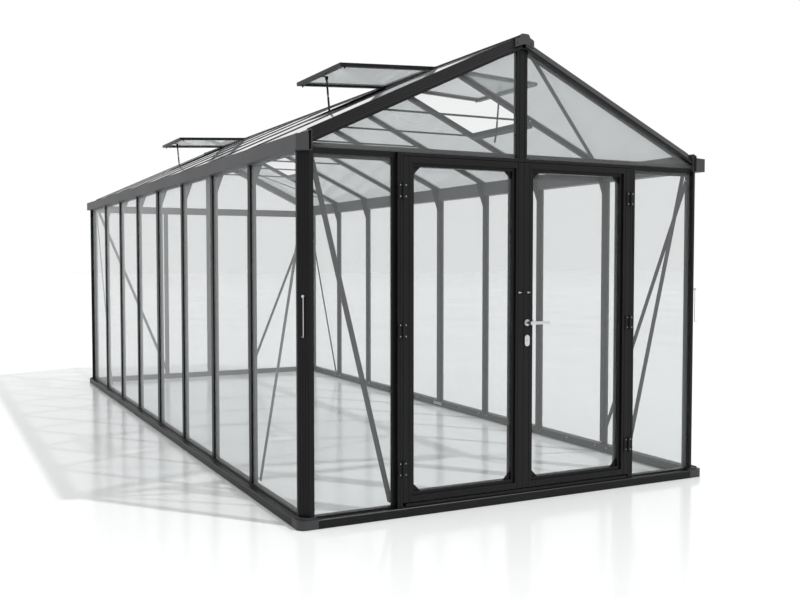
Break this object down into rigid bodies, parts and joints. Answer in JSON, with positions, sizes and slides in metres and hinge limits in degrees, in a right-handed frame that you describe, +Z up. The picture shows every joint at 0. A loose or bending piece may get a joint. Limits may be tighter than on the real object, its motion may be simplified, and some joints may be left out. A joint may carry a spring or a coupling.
{
  "type": "greenhouse",
  "caption": "Walk-in gable greenhouse with a black aluminium frame, clear glass panes, double front doors, eaves gutters and tilting roof vents on stays.",
  "frame": {"origin": "centre of the foot, on the ground under the middle of the base rails", "axes": "+Z up, +Y along the ridge from the door gable to the rear gable, +X to the right when facing the doors"},
  "size_m": [2.546, 6.1933, 2.459],
  "materials": {
    "black_aluminium": "satin black powder coat on extruded aluminium",
    "grey_aluminium": "satin dark grey powder coat on extruded aluminium",
    "grey_plastic": "moulded dark grey plastic",
    "bright_steel": "brushed stainless steel",
    "clear_glass": "clear toughened glass with a faint grey-green tint"
  },
  "bodies": {
    "frame": {"base_rails": "black_aluminium", "base_corner_connectors": "grey_plastic", "base_joiners": "bright_steel", "corner_posts": "black_aluminium", "side_bars_left": "black_aluminium", "side_bars_right": "black_aluminium", "eaves_gutters": "grey_aluminium", "gutter_joiners": "grey_plastic", "gutter_end_caps": "grey_plastic", "ridge_beam": "black_aluminium", "ridge_end_covers": "grey_plastic", "roof_bars_left": "black_aluminium", "roof_bars_right": "black_aluminium", "gable_rafters": "black_aluminium", "transoms": "black_aluminium", "king_post": "black_aluminium", "rear_mullions": "black_aluminium", "door_posts": "black_aluminium", "door_jambs": "black_aluminium", "wall_braces": "black_aluminium", "gable_braces": "black_aluminium", "roof_braces": "black_aluminium", "knee_gussets": "black_aluminium", "collar_ties": "black_aluminium", "side_glass_left": "clear_glass", "side_glass_right": "clear_glass", "roof_glass_left": "clear_glass", "roof_glass_right": "clear_glass", "front_gable_glass": "clear_glass", "rear_gable_glass": "clear_glass", "frame_bolts": "bright_steel", "vent_curbs": "black_aluminium", "fixed_hinge_leaves": "black_aluminium", "hook_screws": "bright_steel"},
    "left_door": {"left_door_frame": "black_aluminium", "left_door_glass": "clear_glass", "left_door_corners": "black_aluminium", "left_door_eye": "bright_steel"},
    "right_door": {"right_door_frame": "black_aluminium", "right_door_glass": "clear_glass", "right_door_corners": "black_aluminium", "right_door_eye": "bright_steel", "lock_case": "bright_steel", "lock_cylinder": "bright_steel", "door_roses": "bright_steel"},
    "lever": {"lever_handle": "bright_steel"},
    "hook_left": {"wind_hook_left": "bright_steel"},
    "hook_right": {"wind_hook_right": "bright_steel"},
    "vent_front_left": {"vent_front_left": "black_aluminium", "vent_glass_front_left": "clear_glass"},
    "stay_front_left": {"vent_stay_front_left": "black_aluminium"},
    "vent_front_right": {"vent_front_right": "black_aluminium", "vent_glass_front_right": "clear_glass"},
    "stay_front_right": {"vent_stay_front_right": "black_aluminium"},
    "vent_rear_left": {"vent_rear_left": "black_aluminium", "vent_glass_rear_left": "clear_glass"},
    "stay_rear_left": {"vent_stay_rear_left": "black_aluminium"},
    "vent_rear_right": {"vent_rear_right": "black_aluminium", "vent_glass_rear_right": "clear_glass"},
    "stay_rear_right": {"vent_stay_rear_right": "black_aluminium"}
  },
  "joints": [
    {"name": "left_door_swing", "type": "hinge", "parent": "frame", "child": "left_door", "pos_m": [-0.715, -3.0705, 0.929], "axis": [0, 0, -1], "range_deg": [0, 180]},
    {"name": "right_door_swing", "type": "hinge", "parent": "frame", "child": "right_door", "pos_m": [0.715, -3.0705, 0.929], "axis": [0, 0, 1], "range_deg": [0, 180]},
    {"name": "lever_turn", "type": "hinge", "parent": "right_door", "child": "lever", "pos_m": [0.021, -3.064, 0.948], "axis": [0, 1, 0], "range_deg": [0, 40], "stiffness_Nm_per_rad": 2, "springref_deg": -22.92},
    {"name": "left_hook_swing", "type": "hinge", "parent": "frame", "child": "hook_left", "pos_m": [-1.225, -3.031, 1.108], "axis": [0.7071, 0.7071, 0], "range_deg": [-10, 80]},
    {"name": "right_hook_swing", "type": "hinge", "parent": "frame", "child": "hook_right", "pos_m": [1.225, -3.031, 1.108], "axis": [0.7071, -0.7071, 0], "range_deg": [-10, 80]},
    {"name": "vent_front_left_tilt", "type": "hinge", "parent": "frame", "child": "vent_front_left", "pos_m": [-0.042, -1.86, 2.43655], "axis": [0, 1, 0], "range_deg": [-22, 20]},
    {"name": "stay_front_left_swing", "type": "hinge", "parent": "vent_front_left", "child": "stay_front_left", "pos_m": [-0.61979, -1.86, 2.37923], "axis": [0, 1, 0], "range_deg": [-20, 22]},
    {"name": "vent_front_right_tilt", "type": "hinge", "parent": "frame", "child": "vent_front_right", "pos_m": [0.042, -1.86, 2.43655], "axis": [0, -1, 0], "range_deg": [-22, 20]},
    {"name": "stay_front_right_swing", "type": "hinge", "parent": "vent_front_right", "child": "stay_front_right", "pos_m": [0.61979, -1.86, 2.37923], "axis": [0, -1, 0], "range_deg": [-20, 22]},
    {"name": "vent_rear_left_tilt", "type": "hinge", "parent": "frame", "child": "vent_rear_left", "pos_m": [-0.042, 1.86, 2.43655], "axis": [0, 1, 0], "range_deg": [-22, 20]},
    {"name": "stay_rear_left_swing", "type": "hinge", "parent": "vent_rear_left", "child": "stay_rear_left", "pos_m": [-0.61979, 1.86, 2.37923], "axis": [0, 1, 0], "range_deg": [-20, 22]},
    {"name": "vent_rear_right_tilt", "type": "hinge", "parent": "frame", "child": "vent_rear_right", "pos_m": [0.042, 1.86, 2.43655], "axis": [0, -1, 0], "range_deg": [-22, 20]},
    {"name": "stay_rear_right_swing", "type": "hinge", "parent": "vent_rear_right", "child": "stay_rear_right", "pos_m": [0.61979, 1.86, 2.37923], "axis": [0, -1, 0], "range_deg": [-20, 22]}
  ],
  "couplings": [
    {"joint": "stay_front_left_swing", "follows": "vent_front_left_tilt", "ratio": -1},
    {"joint": "stay_front_right_swing", "follows": "vent_front_right_tilt", "ratio": -1},
    {"joint": "stay_rear_left_swing", "follows": "vent_rear_left_tilt", "ratio": -1},
    {"joint": "stay_rear_right_swing", "follows": "vent_rear_right_tilt", "ratio": -1}
  ]
}
